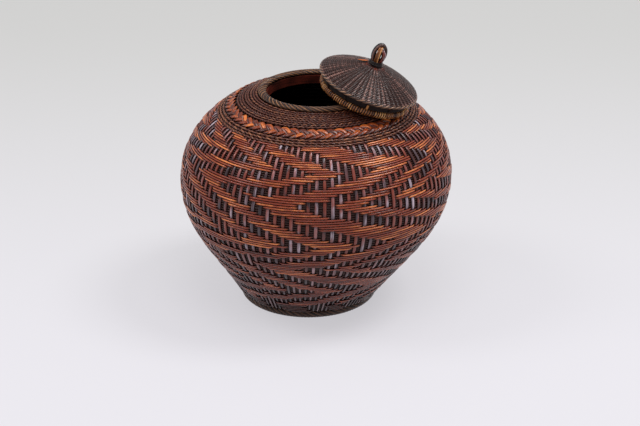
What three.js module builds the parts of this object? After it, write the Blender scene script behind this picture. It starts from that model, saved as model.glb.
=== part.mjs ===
// A round lidded basket of split cane: a small foot, broad shoulders, a narrow mouth, and a loose
// domed lid that leans half across the mouth, where it was set down.
// Millimetres, +Z up. The origin lies on the ground, straight below the centre of the widest ring.

import * as THREE from "three";

// Wall of the basket, measured on its outer face
const BELLY_RADIUS = 132;
const BELLY_HEIGHT = 125.5;
const BELLY_EASE_BELOW = 45;
const BELLY_EASE_ABOVE = 44;
const FOOT_RADIUS = 70;
const FOOT_SLOPE = 57;
const FOOT_EASE = 54.7;
const NECK_RADIUS = 57.6;
const NECK_HEIGHT = 210.2;
const NECK_SLOPE = 16.5;
const NECK_EASE = 40;
const LEAN = 9.2;

// Layers and bands of the wall
const STAKE_THICKNESS = 1.5;
const WEAVER_THICKNESS = 1.9;
const ZIGZAG_DEPTH = 0.9;
const UPPER_TWINING_WIDTH = 22;
const BRAID_WIDTH = 13;
const BRAID_RISE = 0.4;
const LOWER_TWINING_WIDTH = 9;

// Foot, floor and mouth
const FOOT_ROPE_HEIGHT = 8;
const FOOT_ROPE_WIDTH = 8;
const FOOT_ROPE_INSET = 3;
const FOOT_ROPE_BEVEL = 2.4;
const FLOOR_THICKNESS = 2;
const RIM_ROPE_WIDTH = 9.2;
const RIM_ROPE_HEIGHT = 5.2;
const RIM_ROPE_RISE = 1;
const NECK_HOOP_THICKNESS = 2;
const NECK_HOOP_HEIGHT = 8;
const NECK_HOOP_INSET = 0.2;

// Lid, in its own frame: the origin is on its axis, at the lowest line of the edge rope
const LID_RADIUS = 48.9;
const LID_HEIGHT = 22.0;
const LID_TOP_SLOPE = 13;
const LID_TOP_EASE = 20.3;
const LID_EDGE_SLOPE = 41;
const LID_EDGE_EASE = 6.7;
const LID_WEAVE_THICKNESS = 1.3;
const LID_STAKE_THICKNESS = 1;
const LID_CENTRE_RADIUS = 7;
const EDGE_ROPE_THICKNESS = 3.6;
const EDGE_ROPE_DROP = 0.6;

// Collar under the lid: a bare band, and a hoop whipped with one long strip of cane
const COLLAR_RADIUS = 44.3;
const COLLAR_DEPTH = 13.8;
const BAND_THICKNESS = 1;
const HOOP_THICKNESS = 2.2;
const HOOP_HEIGHT = 4;
const WHIPPING_THICKNESS = 0.7;
const WHIPPING_CROWN = 0.28;
const WHIPPING_TURNS = 64;
const WHIPPING_SPACING = 0.7;
const TIE_COUNT = 12;
const TIE_WIDTH = 1.8;
const TIE_THICKNESS = 0.8;

// Knob of three crossing loops, their binding, and the strand that is tucked away beside it
const KNOB_WIDTH = 14.6;
const KNOB_HEIGHT = 20.4;
const KNOB_STRAND = 2.3;
const KNOB_FOOT_RADIUS = 2.7;
const KNOB_WAIST = 0.46;
const BINDING_THICKNESS = 1.8;
const BINDING_HEIGHT = 3.4;
const TAIL_LENGTH = 11;
const TAIL_WIDTH = 2.6;
const TAIL_THICKNESS = 0.8;

// How the lid lies on the basket, as angles in degrees from +X: it is shifted from the mouth's
// centre one way, dips nearly the same way, and sinks until its collar meets both rope and wall
const LID_SHIFT = 52;
const LID_SHIFT_ANGLE = -23.6;
const LID_DIP_ANGLE = -14.5;

// Clearance between pieces that touch
const GAP = 0.3;

// Facets
const ZIGZAG_STROKES = 12;
const FACETS_PER_STROKE = 3;
const WALL_SEGMENTS = ZIGZAG_STROKES * FACETS_PER_STROKE;
const LID_SEGMENTS = 36;
const FOOT_STEPS = 7;
const SHOULDER_STEPS = 5;
const BELLY_STRETCH_STEPS = 2;
const LID_STEPS = 6;
const ROPE_SIDES = 8;
const TURN_STEPS = 8;
const KNOB_SIDES = 6;
const KNOB_STEPS = 16;
const TAIL_STEPS = 3;
const TOUCH_STEPS = 72;
const HALVINGS = 20;

// Turns of the twill's zigzag, from the foot up: its share of the twill's height, and how many facets
// round the basket a stroke has travelled there
const ZIGZAG_TURNS = [
  [0, 2],
  [0.05, 0],
  [0.19, 6],
  [0.39, 0],
  [0.53, 6],
  [0.73, 0],
  [0.87, 6],
  [1, 2],
];

const COLOURS = {
  floor: 0x4a3026,
  stake: 0x3b2f33,
  twill: 0x8a3f28,
  twining: 0x55382b,
  braid: 0xb4572a,
  rope: 0x3d2a24,
  hoop: 0x6b3324,
  lid: 0x4b3a37,
  centre: 0x5e2c24,
  whipping: 0xa8804a,
  tie: 0xc2a06c,
  honey: 0xb07a35,
  rust: 0x8a4a38,
};

const rad = THREE.MathUtils.degToRad;
const vec = (x, y) => new THREE.Vector2(x, y);

function cane(colour, roughness = 0.5) {
  return new THREE.MeshStandardMaterial({ color: colour, roughness, metalness: 0 });
}

function named(name, geometry, material) {
  const mesh = new THREE.Mesh(geometry, material);
  mesh.name = name;
  return mesh;
}

// Outline of the wall's outer face as (radius, height), from the foot over the belly to the neck
const wall = new THREE.CurvePath();
const bellyPoint = vec(BELLY_RADIUS, BELLY_HEIGHT);
const footPoint = vec(FOOT_RADIUS, FOOT_ROPE_HEIGHT + GAP);
const neckPoint = vec(NECK_RADIUS, NECK_HEIGHT);
wall.add(
  new THREE.CubicBezierCurve(
    footPoint,
    vec(Math.cos(rad(FOOT_SLOPE)), Math.sin(rad(FOOT_SLOPE))).multiplyScalar(FOOT_EASE).add(footPoint),
    vec(BELLY_RADIUS, BELLY_HEIGHT - BELLY_EASE_BELOW),
    bellyPoint,
  ),
);
wall.add(
  new THREE.CubicBezierCurve(
    bellyPoint,
    vec(BELLY_RADIUS, BELLY_HEIGHT + BELLY_EASE_ABOVE),
    vec(Math.cos(rad(NECK_SLOPE)), -Math.sin(rad(NECK_SLOPE))).multiplyScalar(NECK_EASE).add(neckPoint),
    neckPoint,
  ),
);
const wallLength = wall.getLength();
const bellyStation = wall.getCurveLengths()[0];

// Point at a distance along the wall, sunk below its outer face
function wallPoint(station, depth) {
  const along = THREE.MathUtils.clamp(station / wallLength, 0, 1);
  const point = wall.getPoint(along);
  const tangent = wall.getTangent(along);
  return point.add(vec(-tangent.y, tangent.x).multiplyScalar(depth));
}

// Distances along the wall where the bands end, from the foot up
const braidTop = wallLength - UPPER_TWINING_WIDTH;
const braidFoot = braidTop - BRAID_WIDTH;
const twillTop = braidFoot - LOWER_TWINING_WIDTH;

function spread(from, to, steps) {
  return Array.from({ length: steps + 1 }, (_, i) => from + ((to - from) * i) / steps);
}

const twillStations = [
  ...spread(0, bellyStation, FOOT_STEPS),
  ...spread(bellyStation, twillTop, SHOULDER_STEPS).slice(1),
];
const braidMiddle = (braidFoot + braidTop) / 2;
const upperStations = spread(braidTop, wallLength, 2);
const wallStations = [...twillStations, braidFoot, braidMiddle, ...upperStations];

// Stretches of the stake wall, from the foot up, and the stations that each one ends at
const STAKE_STRETCHES = ["foot", "lower", "under_belly", "over_belly", "shoulder"];
const stretchEnds = [
  0,
  FOOT_STEPS - 2 * BELLY_STRETCH_STEPS,
  FOOT_STEPS - BELLY_STRETCH_STEPS,
  FOOT_STEPS,
  FOOT_STEPS + Math.ceil(SHOULDER_STEPS / 2),
  wallStations.length - 1,
];

// Turns an outline of (radius, height) points into a solid of revolution about Z
function turned(outline, segments) {
  let area = 0;
  outline.forEach((p, i) => {
    const q = outline[(i + 1) % outline.length];
    area += p.x * q.y - q.x * p.y;
  });
  const points = area > 0 ? [...outline] : [...outline].reverse();
  if (points[0].x > 0) points.push(points[0].clone());
  const geometry = new THREE.LatheGeometry(points, segments);
  geometry.deleteAttribute("uv");
  return geometry.rotateX(Math.PI / 2);
}

// Sideways lean of the basket at a height: none at the belly, the foot to -X, the mouth to +X
function leanAt(height) {
  const share = (z) => (1 - z / NECK_HEIGHT) ** 2;
  return LEAN * (share(BELLY_HEIGHT) - share(height));
}

function leaning(geometry) {
  const position = geometry.getAttribute("position");
  for (let i = 0; i < position.count; i += 1) {
    position.setX(i, position.getX(i) + leanAt(position.getZ(i)));
  }
  return geometry;
}

// One layer of the wall along a run of stations, between two depths below the outer face
function wallLayer(stations, depth, thickness, crown = 0) {
  const last = stations.length - 1;
  const trimmed = stations.map((s, i) => s + (i === 0 ? GAP / 2 : 0) - (i === last ? GAP / 2 : 0));
  const outer = trimmed.map((s, i) => wallPoint(s, i > 0 && i < last ? depth - crown : depth));
  const inner = trimmed.map((s) => wallPoint(s, depth + thickness)).reverse();
  return leaning(turned([...outer, ...inner], WALL_SEGMENTS));
}

// Rings of the twill's outer face, one for each facet that the strokes of its zigzag travel
function zigzagRings() {
  const rings = [];
  ZIGZAG_TURNS.slice(1).forEach(([share, facet], i) => {
    const [fromShare, fromFacet] = ZIGZAG_TURNS[i];
    const steps = Math.abs(facet - fromFacet);
    const shares = spread(fromShare, share, steps);
    const facets = spread(fromFacet, facet, steps);
    const first = i === 0 ? 0 : 1;
    for (let k = first; k <= steps; k += 1) rings.push({ station: shares[k] * twillTop, facet: facets[k] });
  });
  return rings;
}

// Outer layer of the wall below the bands, with a groove along each stroke of the zigzag
function twillWeave() {
  const rings = zigzagRings();
  const trim = (s) => THREE.MathUtils.clamp(s, GAP / 2, twillTop - GAP / 2);
  const inner = twillStations.map((s) => wallPoint(trim(s), WEAVER_THICKNESS)).reverse();
  const sections = Array.from({ length: WALL_SEGMENTS }, (_, segment) => {
    const around = (2 * Math.PI * segment) / WALL_SEGMENTS;
    const outer = rings.map(({ station, facet }) => {
      const inGroove = (segment - facet + WALL_SEGMENTS) % FACETS_PER_STROKE === 0;
      return wallPoint(trim(station), inGroove ? ZIGZAG_DEPTH : 0);
    });
    const place = (p) => new THREE.Vector3(p.x * Math.cos(around), p.x * Math.sin(around), p.y);
    return [...outer, ...inner].map(place);
  });
  const positions = [];
  const triangle = (a, b, c) => [a, b, c].forEach((p) => positions.push(p.x, p.y, p.z));
  sections.forEach((section, i) => {
    const next = sections[(i + 1) % sections.length];
    section.forEach((low, k) => {
      const above = (k + 1) % section.length;
      const leftwards = k + 1 < rings.length && rings[k + 1].facet < rings[k].facet;
      if (leftwards) {
        triangle(low, next[k], section[above]);
        triangle(next[k], next[above], section[above]);
      } else {
        triangle(low, next[k], next[above]);
        triangle(low, next[above], section[above]);
      }
    });
  });
  const geometry = new THREE.BufferGeometry();
  geometry.setAttribute("position", new THREE.Float32BufferAttribute(positions, 3));
  geometry.computeVertexNormals();
  return leaning(geometry);
}

// Outline of a rope's cross-section, wider than high or round
function ropeSection(radius, height, halfWidth, halfHeight) {
  return Array.from({ length: ROPE_SIDES }, (_, i) => {
    const turn = (2 * Math.PI * (i + 0.5)) / ROPE_SIDES;
    return vec(radius + halfWidth * Math.cos(turn), height + halfHeight * Math.sin(turn));
  });
}

// Rim rope: it lies on the neck's end, so that its outer side just clears the last twined row
const rimHalfWidth = RIM_ROPE_WIDTH / 2;
const rimHalfHeight = RIM_ROPE_HEIGHT / 2;
const rimHeight = NECK_HEIGHT + RIM_ROPE_RISE;
const rimReach = rimHalfWidth * Math.sqrt(1 - (RIM_ROPE_RISE / rimHalfHeight) ** 2);
const rimRadius = NECK_RADIUS - GAP - rimReach;
const mouthRadius = rimRadius - rimHalfWidth;

const layerDepth = WEAVER_THICKNESS + GAP;
const floorBottom = FOOT_ROPE_HEIGHT + GAP;

function floorDisc() {
  const radius = (depthZ) => {
    const slope = Math.tan(rad(FOOT_SLOPE));
    const wallInside = FOOT_RADIUS - (layerDepth + STAKE_THICKNESS + GAP) / Math.sin(rad(FOOT_SLOPE));
    return wallInside + depthZ / slope;
  };
  const outline = [
    vec(0, floorBottom),
    vec(radius(0), floorBottom),
    vec(radius(FLOOR_THICKNESS) - GAP, floorBottom + FLOOR_THICKNESS),
    vec(0, floorBottom + FLOOR_THICKNESS),
  ];
  return leaning(turned(outline, WALL_SEGMENTS));
}

function footRope() {
  const outside = FOOT_RADIUS - FOOT_ROPE_INSET;
  const inside = outside - FOOT_ROPE_WIDTH;
  const outline = [
    vec(inside, 0),
    vec(outside - FOOT_ROPE_BEVEL, 0),
    vec(outside, FOOT_ROPE_BEVEL),
    vec(outside, FOOT_ROPE_HEIGHT - FOOT_ROPE_BEVEL / 2),
    vec(outside - FOOT_ROPE_BEVEL / 2, FOOT_ROPE_HEIGHT),
    vec(inside, FOOT_ROPE_HEIGHT),
  ];
  return leaning(turned(outline, WALL_SEGMENTS));
}

function rimRope() {
  return leaning(turned(ropeSection(rimRadius, rimHeight, rimHalfWidth, rimHalfHeight), WALL_SEGMENTS));
}

// Upright hoop inside the mouth, hung below the rope
function neckHoop() {
  const inside = mouthRadius - NECK_HOOP_INSET;
  const outside = inside + NECK_HOOP_THICKNESS;
  const offset = (outside - rimRadius) / rimHalfWidth;
  const top = rimHeight - rimHalfHeight * Math.sqrt(1 - offset ** 2) - GAP;
  const bottom = top - NECK_HOOP_HEIGHT;
  const outline = [vec(inside, bottom), vec(outside, bottom), vec(outside, top), vec(inside, top)];
  return leaning(turned(outline, WALL_SEGMENTS));
}

// Lid's outer face as (radius, height), from the centre to the edge
const edgeRopeRadius = LID_RADIUS - EDGE_ROPE_THICKNESS / 2;
const edgeRopeHeight = EDGE_ROPE_THICKNESS / 2 - EDGE_ROPE_DROP;
const edgeRopeTop = edgeRopeHeight + EDGE_ROPE_THICKNESS / 2;
const lidEdge = vec(LID_RADIUS - EDGE_ROPE_DROP, edgeRopeTop + GAP);
const lidTop = vec(0, LID_HEIGHT);
const dome = new THREE.CubicBezierCurve(
  lidTop,
  vec(Math.cos(rad(LID_TOP_SLOPE)), -Math.sin(rad(LID_TOP_SLOPE))).multiplyScalar(LID_TOP_EASE).add(lidTop),
  vec(-Math.cos(rad(LID_EDGE_SLOPE)), Math.sin(rad(LID_EDGE_SLOPE))).multiplyScalar(LID_EDGE_EASE).add(lidEdge),
  lidEdge,
);

function domePoint(share, depth) {
  const point = dome.getPointAt(share);
  if (share === 0) return vec(0, point.y - depth);
  const tangent = dome.getTangentAt(share);
  const sunk = point.add(vec(tangent.y, -tangent.x).multiplyScalar(depth));
  return share === 1 ? vec(sunk.x, lidEdge.y) : sunk;
}

// Share of the dome's length at which it has a given radius
function domeShare(radius) {
  let low = 0;
  let high = 1;
  for (let i = 0; i < HALVINGS; i += 1) {
    const middle = (low + high) / 2;
    if (dome.getPointAt(middle).x < radius) low = middle;
    else high = middle;
  }
  return low;
}

function domeLayer(shares, depth, thickness) {
  const outer = shares.map((s) => domePoint(s, depth));
  const inner = shares.map((s) => domePoint(s, depth + thickness)).reverse();
  return turned([...outer, ...inner], LID_SEGMENTS);
}

function ring(inside, outside, bottom, top) {
  return turned([vec(inside, bottom), vec(outside, bottom), vec(outside, top), vec(inside, top)], LID_SEGMENTS);
}

const centreShare = domeShare(LID_CENTRE_RADIUS);
const weaveShare = domeShare(LID_CENTRE_RADIUS + GAP);
const lidShares = [...spread(0, centreShare, 1), ...spread(weaveShare, 1, LID_STEPS)];

// Whipping: a flat strip wound round the hoop. Its inner face is an octagon round the hoop's section
const octagon = 1 / Math.cos(Math.PI / TURN_STEPS);
const stripInner = vec((HOOP_THICKNESS / 2 + GAP) * octagon, (HOOP_HEIGHT / 2 + GAP) * octagon);
const stripOuter = stripInner.clone().addScalar(WHIPPING_THICKNESS);
const hoopRadius = COLLAR_RADIUS - stripOuter.x;
const hoopHeight = stripOuter.y - COLLAR_DEPTH;
const whippingTop = hoopHeight + stripOuter.y;
const turnPitch = (2 * Math.PI) / (WHIPPING_TURNS + 1);

// Place on the whipping: turn counts windings, across runs over the strip's width, lift through it
function stripPoint(turn, across, lift) {
  const winding = 2 * Math.PI * turn;
  const around = turnPitch * turn;
  const outX = Math.cos(winding);
  const outZ = Math.sin(winding);
  const radius = hoopRadius + outX * (stripInner.x + lift);
  return new THREE.Vector3(
    radius * Math.cos(around) - across * Math.sin(around),
    radius * Math.sin(around) + across * Math.cos(around),
    hoopHeight + outZ * (stripInner.y + lift),
  );
}

function stripSection(turn) {
  const insideRadius = hoopRadius - stripOuter.x;
  const half = (insideRadius * turnPitch - WHIPPING_SPACING) / 2;
  const shoulder = WHIPPING_THICKNESS - WHIPPING_CROWN;
  return [
    stripPoint(turn, -half, 0),
    stripPoint(turn, half, 0),
    stripPoint(turn, half, shoulder),
    stripPoint(turn, 0, WHIPPING_THICKNESS),
    stripPoint(turn, -half, shoulder),
  ];
}

const whippingSections = spread(0, WHIPPING_TURNS, WHIPPING_TURNS * TURN_STEPS).map(stripSection);

// Closed tube through a list of cross-sections that all have the same number of points
function lofted(sections) {
  const sides = sections[0].length;
  const positions = [];
  const triangle = (a, b, c) => [a, b, c].forEach((p) => positions.push(p.x, p.y, p.z));
  for (let i = 0; i + 1 < sections.length; i += 1) {
    for (let k = 0; k < sides; k += 1) {
      const next = (k + 1) % sides;
      triangle(sections[i][k], sections[i + 1][next], sections[i][next]);
      triangle(sections[i][k], sections[i + 1][k], sections[i + 1][next]);
    }
  }
  const end = sections[sections.length - 1];
  for (let k = 1; k + 1 < sides; k += 1) {
    triangle(sections[0][0], sections[0][k], sections[0][k + 1]);
    triangle(end[0], end[k + 1], end[k]);
  }
  const geometry = new THREE.BufferGeometry();
  geometry.setAttribute("position", new THREE.Float32BufferAttribute(positions, 3));
  geometry.computeVertexNormals();
  return geometry;
}

// Distance from a point to the stretch between two others
function toSegment(point, from, to) {
  const along = to.clone().sub(from);
  const share = THREE.MathUtils.clamp(point.clone().sub(from).dot(along) / along.lengthSq(), 0, 1);
  return along.multiplyScalar(share).add(from).distanceTo(point);
}

// Least gap between one turn of the whipping and the next, and between its two ends
function leastWhippingGap() {
  let least = Infinity;
  whippingSections.forEach((section, i) => {
    for (const j of [i + TURN_STEPS - 1, i + TURN_STEPS]) {
      const other = whippingSections[j];
      const after = whippingSections[j + 1];
      if (!after) continue;
      for (const p of section) {
        other.forEach((q, k) => {
          least = Math.min(least, toSegment(p, q, after[k]));
        });
      }
    }
  });
  for (const p of whippingSections[0]) {
    for (const q of whippingSections[whippingSections.length - 1]) least = Math.min(least, p.distanceTo(q));
  }
  return least;
}

console.log(`least gap between turns of the whipping: ${leastWhippingGap().toFixed(2)} mm`);

// Extrudes an outline of (radius, height) points sideways into a strap that lies along a radius
function radialStrap(outline, width) {
  const geometry = new THREE.ExtrudeGeometry(new THREE.Shape(outline), { depth: width, bevelEnabled: false });
  geometry.deleteAttribute("uv");
  return geometry.translate(0, 0, -width / 2).rotateX(Math.PI / 2);
}

// Collar band's outer face: upright inside the edge rope, then sloping in to stand on the whipping
const bandFoot = vec(hoopRadius + BAND_THICKNESS / 2, whippingTop + GAP);
const bandBend = vec(edgeRopeRadius - EDGE_ROPE_THICKNESS / 2 - GAP, -EDGE_ROPE_DROP);
const bandTop = vec(bandBend.x, edgeRopeTop);
const bandSlope = bandBend.clone().sub(bandFoot);

function collarBand() {
  const inward = (p) => vec(p.x - BAND_THICKNESS, p.y);
  const outer = [bandFoot, bandBend, bandTop];
  return turned([...outer, ...outer.map(inward).reverse()], LID_SEGMENTS);
}

// Short stitch on the band's sloping part
function collarTie() {
  const outward = vec(bandSlope.y, -bandSlope.x).normalize();
  const onBand = (share, lift) => {
    return bandSlope.clone().multiplyScalar(share).add(bandFoot).addScaledVector(outward, lift);
  };
  const low = GAP / bandSlope.y;
  const high = 1 - (TIE_THICKNESS + 2 * GAP) / bandSlope.length();
  const outline = [
    onBand(low, GAP),
    onBand(low, GAP + TIE_THICKNESS),
    onBand(high, GAP + TIE_THICKNESS),
    onBand(high, GAP),
  ];
  return radialStrap(outline, TIE_WIDTH);
}

// Knob loop: an arch that widens from its feet to the middle and closes over the axis
const knobStrand = KNOB_STRAND / 2;
const loopHalfWidth = KNOB_WIDTH / 2 - knobStrand;
const knobFoot = LID_HEIGHT + GAP + knobStrand;
const knobMiddle = LID_HEIGHT + KNOB_HEIGHT * KNOB_WAIST;

class KnobLoop extends THREE.Curve {
  constructor(top) {
    super();
    this.rise = top - knobMiddle;
    this.start = -Math.acos(KNOB_FOOT_RADIUS / loopHalfWidth);
    this.drop = (knobFoot - knobMiddle) / Math.sin(this.start);
  }

  getPoint(share, target = new THREE.Vector3()) {
    const angle = this.start + (Math.PI - 2 * this.start) * share;
    const height = Math.sin(angle) * (Math.sin(angle) > 0 ? this.rise : this.drop);
    return target.set(loopHalfWidth * Math.cos(angle), 0, knobMiddle + height);
  }
}

function knobLoop(order) {
  const top = LID_HEIGHT + KNOB_HEIGHT - knobStrand - order * (KNOB_STRAND + GAP);
  const section = new THREE.Shape(
    Array.from({ length: KNOB_SIDES }, (_, i) => {
      const turn = (2 * Math.PI * i) / KNOB_SIDES;
      return vec(knobStrand * Math.cos(turn), knobStrand * Math.sin(turn));
    }),
  );
  const geometry = new THREE.ExtrudeGeometry(section, {
    steps: KNOB_STEPS,
    bevelEnabled: false,
    extrudePath: new KnobLoop(top),
  });
  geometry.deleteAttribute("uv");
  return geometry;
}

function knobBinding() {
  const inside = KNOB_FOOT_RADIUS + 2 * knobStrand + GAP;
  const bottom = domePoint(domeShare(inside), -GAP).y;
  return ring(inside, inside + BINDING_THICKNESS, bottom, bottom + BINDING_HEIGHT);
}

// Strand that leaves the knob's foot and lies on the dome
function knobTail() {
  const start = KNOB_FOOT_RADIUS + 2 * knobStrand + BINDING_THICKNESS + 2 * GAP;
  const shares = spread(domeShare(start), domeShare(start + TAIL_LENGTH), TAIL_STEPS);
  const under = shares.map((s) => domePoint(s, -GAP));
  const over = shares.map((s) => domePoint(s, -GAP - TAIL_THICKNESS)).reverse();
  return radialStrap([...under, ...over], TAIL_WIDTH);
}

// Everything that the lid can come to rest on, as one outline from the belly over the rope
const restOutline = [
  ...spread(bellyStation, twillTop, SHOULDER_STEPS).map((s) => wallPoint(s, 0)),
  wallPoint(braidFoot, 0),
  wallPoint(braidMiddle, -BRAID_RISE),
  wallPoint(braidTop, 0),
  ...upperStations.slice(1).map((s) => wallPoint(s, 0)),
  ...spread(0, Math.PI, ROPE_SIDES * 2).map((turn) =>
    vec(rimRadius + rimHalfWidth * Math.cos(turn), rimHeight + rimHalfHeight * Math.sin(turn)),
  ),
];

// Signed distance from a (radius, height) point to that outline, positive outside
function clearOf(point) {
  let least = Infinity;
  let side = 1;
  for (let i = 0; i + 1 < restOutline.length; i += 1) {
    const distance = toSegment(point, restOutline[i], restOutline[i + 1]);
    if (distance < least) {
      const along = restOutline[i + 1].clone().sub(restOutline[i]);
      const across = point.clone().sub(restOutline[i]);
      least = distance;
      side = Math.sign(across.x * along.y - across.y * along.x) || 1;
    }
  }
  return least * side;
}

// Points of the collar and the edge rope that can touch, with the side of the lid they are on
function touchPoints() {
  const points = [];
  for (let i = 0; i < TOUCH_STEPS; i += 1) {
    const around = (2 * Math.PI * i) / TOUCH_STEPS;
    for (const down of spread(0, Math.PI / 2, TURN_STEPS / 2)) {
      const radius = hoopRadius + stripOuter.x * Math.cos(down);
      const height = hoopHeight - stripOuter.y * Math.sin(down);
      points.push(new THREE.Vector3(radius * Math.cos(around), radius * Math.sin(around), height));
    }
    points.push(new THREE.Vector3(LID_RADIUS * Math.cos(around), LID_RADIUS * Math.sin(around), edgeRopeHeight));
  }
  return points;
}

// Turn that dips the lid's own +X side by a tilt, towards the dip angle
function lidTurn(tilt) {
  const heading = new THREE.Matrix4().makeRotationZ(rad(LID_DIP_ANGLE));
  return heading.multiply(new THREE.Matrix4().makeRotationY(tilt));
}

// Tilt and height at which the collar touches rope and wall together, each with the clearance
function seatedLid() {
  const points = touchPoints();
  const mouthX = leanAt(rimHeight);
  const offset = new THREE.Vector3(
    mouthX + LID_SHIFT * Math.cos(rad(LID_SHIFT_ANGLE)),
    LID_SHIFT * Math.sin(rad(LID_SHIFT_ANGLE)),
    0,
  );
  const settle = (tilt) => {
    const turn = lidTurn(tilt);
    const placed = points.map((p) => p.clone().applyMatrix4(turn).add(offset));
    let low = BELLY_HEIGHT;
    let high = NECK_HEIGHT + 2 * LID_RADIUS;
    let first = 0;
    for (let i = 0; i < HALVINGS; i += 1) {
      const height = (low + high) / 2;
      let least = Infinity;
      placed.forEach((p, k) => {
        const z = p.z + height;
        const distance = clearOf(vec(Math.hypot(p.x - leanAt(z), p.y), z));
        if (distance < least) {
          least = distance;
          first = k;
        }
      });
      if (least < GAP) low = height;
      else high = height;
    }
    return { height: high, dips: points[first].x > 0 };
  };
  let flat = 0;
  let steep = Math.PI / 3;
  for (let i = 0; i < HALVINGS; i += 1) {
    const tilt = (flat + steep) / 2;
    if (settle(tilt).dips) steep = tilt;
    else flat = tilt;
  }
  offset.z = settle(flat).height;
  return { tilt: flat, position: offset };
}

// Basket
const basket = new THREE.Group();
basket.add(
  named("base_weave", floorDisc(), cane(COLOURS.floor, 0.6)),
  named("foot_rope", footRope(), cane(COLOURS.rope)),
  named("twill_weave", twillWeave(), cane(COLOURS.twill, 0.4)),
  named("lower_twining", wallLayer([twillTop, braidFoot], 0, WEAVER_THICKNESS), cane(COLOURS.twining)),
  named(
    "shoulder_braid",
    wallLayer([braidFoot, braidMiddle, braidTop], 0, WEAVER_THICKNESS, BRAID_RISE),
    cane(COLOURS.braid, 0.4),
  ),
  named("upper_twining", wallLayer(upperStations, 0, WEAVER_THICKNESS), cane(COLOURS.twining)),
  named("rim_rope", rimRope(), cane(COLOURS.rope)),
  named("neck_hoop", neckHoop(), cane(COLOURS.hoop)),
);

STAKE_STRETCHES.forEach((stretch, i) => {
  const stations = wallStations.slice(stretchEnds[i], stretchEnds[i + 1] + 1);
  const stakes = wallLayer(stations, layerDepth, STAKE_THICKNESS);
  basket.add(named(`stake_wall_${stretch}`, stakes, cane(COLOURS.stake)));
});

// Lid
const lid = new THREE.Group();
lid.add(
  named(
    "lid_stakes",
    domeLayer(lidShares, LID_WEAVE_THICKNESS + GAP, LID_STAKE_THICKNESS),
    cane(COLOURS.stake),
  ),
  named("lid_weave", domeLayer(spread(weaveShare, 1, LID_STEPS), 0, LID_WEAVE_THICKNESS), cane(COLOURS.lid)),
  named("lid_centre", domeLayer(spread(0, centreShare, 1), 0, LID_WEAVE_THICKNESS), cane(COLOURS.centre)),
  named(
    "lid_edge_rope",
    turned(
      ropeSection(edgeRopeRadius, edgeRopeHeight, EDGE_ROPE_THICKNESS / 2, EDGE_ROPE_THICKNESS / 2),
      LID_SEGMENTS,
    ),
    cane(COLOURS.rope),
  ),
  named("collar_band", collarBand(), cane(COLOURS.stake, 0.6)),
  named(
    "collar_hoop",
    turned(ropeSection(hoopRadius, hoopHeight, HOOP_THICKNESS / 2, HOOP_HEIGHT / 2), LID_SEGMENTS),
    cane(COLOURS.hoop),
  ),
  named("collar_whipping", lofted(whippingSections), cane(COLOURS.whipping, 0.4)),
);

for (let i = 0; i < TIE_COUNT; i += 1) {
  const tie = named(`collar_tie_${String(i + 1).padStart(2, "0")}`, collarTie(), cane(COLOURS.tie));
  tie.rotation.z = (2 * Math.PI * (i + 0.5)) / TIE_COUNT;
  lid.add(tie);
}

const knobColours = [COLOURS.rope, COLOURS.honey, COLOURS.rust];
["outer", "middle", "inner"].forEach((place, order) => {
  const loop = named(`knob_loop_${place}`, knobLoop(order), cane(knobColours[order], 0.35));
  loop.rotation.z = (Math.PI * (order + 0.5)) / knobColours.length;
  lid.add(loop);
});
lid.add(named("knob_binding", knobBinding(), cane(COLOURS.rope)));

const tail = named("knob_tail", knobTail(), cane(COLOURS.braid, 0.4));
tail.rotation.z = Math.PI;
lid.add(tail);

const seat = seatedLid();
lid.setRotationFromMatrix(lidTurn(seat.tilt));
lid.position.copy(seat.position);
console.log(
  `lid seated at ${seat.position.toArray().map((v) => v.toFixed(1)).join(", ")} mm, tilted ` +
    `${THREE.MathUtils.radToDeg(seat.tilt).toFixed(1)} degrees`,
);

const object = new THREE.Group();
object.add(basket, lid);

export default object;
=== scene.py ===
"""A round lidded basket of split cane: its woven wall, ropes, braid and lid, dressed over the frame.

The basket's surfaces are round. A place on one is an angle, a distance along its outline and a
depth below it, and each strand of cane is swept along a path of such places.
"""

import math

import bpy
import numpy as np
from bpy.props import FloatProperty, FloatVectorProperty, IntProperty, PointerProperty
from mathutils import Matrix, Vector
from mathutils.geometry import interpolate_bezier


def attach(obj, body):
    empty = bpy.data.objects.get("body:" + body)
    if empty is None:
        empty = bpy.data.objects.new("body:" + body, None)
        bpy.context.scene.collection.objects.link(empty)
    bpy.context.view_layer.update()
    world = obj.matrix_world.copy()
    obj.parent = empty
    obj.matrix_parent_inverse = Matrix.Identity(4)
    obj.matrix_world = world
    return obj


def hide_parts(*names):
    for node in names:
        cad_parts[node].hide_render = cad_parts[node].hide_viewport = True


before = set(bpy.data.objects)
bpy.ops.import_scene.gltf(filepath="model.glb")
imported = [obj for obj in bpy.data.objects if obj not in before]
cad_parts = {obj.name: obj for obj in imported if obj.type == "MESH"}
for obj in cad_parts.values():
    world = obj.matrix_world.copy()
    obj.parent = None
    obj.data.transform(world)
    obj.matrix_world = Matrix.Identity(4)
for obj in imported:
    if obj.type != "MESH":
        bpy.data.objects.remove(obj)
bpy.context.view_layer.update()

bl_info = {
    "name": "Lidded cane basket",
    "version": (1, 0, 0),
    "blender": (4, 5, 0),
    "location": "3D Viewport > Sidebar > Basket",
    "description": "Weaves a round lidded basket over its frame",
    "category": "Add Mesh",
}

MM = 0.001
TURN = 2 * math.pi
UP = (0.0, 0.0, 1.0)


def length(name, description, default):
    """A size in metres, given in millimetres."""
    return FloatProperty(
        name=name, description=description, default=default * MM, min=0, unit="LENGTH", precision=5
    )


def coordinate(name, description, default):
    """A place along one axis, in metres, which may be below zero."""
    return FloatProperty(name=name, description=description, default=default, unit="LENGTH")


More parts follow.
